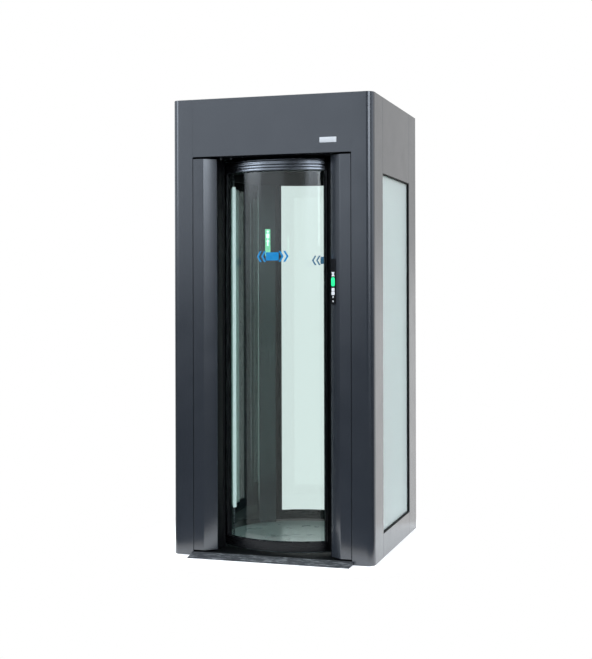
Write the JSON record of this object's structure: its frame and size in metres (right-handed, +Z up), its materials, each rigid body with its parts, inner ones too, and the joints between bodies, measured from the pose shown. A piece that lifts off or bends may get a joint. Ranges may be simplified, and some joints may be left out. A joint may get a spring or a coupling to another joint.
{
  "type": "security portal",
  "caption": "Walk-through security interlock portal: a square cabinet with a curved glass sliding leaf at each end and frosted glass side windows.",
  "frame": {"origin": "centre of the footprint on the floor, midway between the two threshold ramps", "axes": "+Z up, -Y towards the front doorway, +X towards the front closing post with its indicator"},
  "size_m": [1.1, 1.2606, 2.42],
  "materials": {
    "powder_coat": "satin anthracite powder coat",
    "black_coat": "satin black powder coat",
    "black_anodised": "black anodised",
    "threshold_coat": "matt dark grey coat",
    "floor_covering": "smooth satin sheet",
    "track_steel": "bare",
    "gasket_rubber": "matt",
    "frosted_glass": "satin frosted laminate",
    "clear_glass": "clear polished",
    "indicator_glass": "gloss black cover"
  },
  "bodies": {
    "cabinet": {"corner_post_front_left": "powder_coat", "corner_post_front_right": "powder_coat", "corner_post_rear_left": "powder_coat", "corner_post_rear_right": "powder_coat", "side_wall_left": "powder_coat", "side_wall_right": "powder_coat", "side_glazing_left": "frosted_glass", "side_glazing_right": "frosted_glass", "window_gasket_left": "gasket_rubber", "window_gasket_right": "gasket_rubber", "fascia_front": "powder_coat", "fascia_rear": "powder_coat", "roof_panel": "powder_coat", "soffit": "black_coat", "ceiling_panel": "black_coat", "upper_ring": "black_coat", "door_track": "track_steel", "curved_wall_left": "clear_glass", "curved_wall_right": "clear_glass", "base_plate": "black_coat", "floor_plate": "floor_covering", "threshold_front": "threshold_coat", "threshold_rear": "threshold_coat", "wing_front_left": "powder_coat", "wing_front_right": "powder_coat", "wing_rear_left": "powder_coat", "wing_rear_right": "powder_coat", "closing_post_front": "powder_coat", "closing_post_rear": "powder_coat", "guide_post_front": "black_coat", "guide_post_rear": "black_coat", "indicator_front": "indicator_glass", "indicator_rear": "indicator_glass", "display_front": "indicator_glass", "display_rear": "indicator_glass"},
    "front_leaf": {"front_leaf_glass": "clear_glass", "front_leaf_top_rail": "black_anodised", "front_leaf_bottom_rail": "black_anodised", "front_leaf_lead_stile": "black_anodised", "front_leaf_trail_stile": "black_anodised", "front_leaf_carriages": "black_coat"},
    "rear_leaf": {"rear_leaf_glass": "clear_glass", "rear_leaf_top_rail": "black_anodised", "rear_leaf_bottom_rail": "black_anodised", "rear_leaf_lead_stile": "black_anodised", "rear_leaf_trail_stile": "black_anodised", "rear_leaf_carriages": "black_coat"}
  },
  "joints": [
    {"name": "front_leaf_slide", "type": "hinge", "parent": "cabinet", "child": "front_leaf", "pos_m": [0, 0, 0], "axis": [0, 0, -1], "range_deg": [0, 76]},
    {"name": "rear_leaf_slide", "type": "hinge", "parent": "cabinet", "child": "rear_leaf", "pos_m": [0, 0, 0], "axis": [0, 0, -1], "range_deg": [0, 76]}
  ]
}
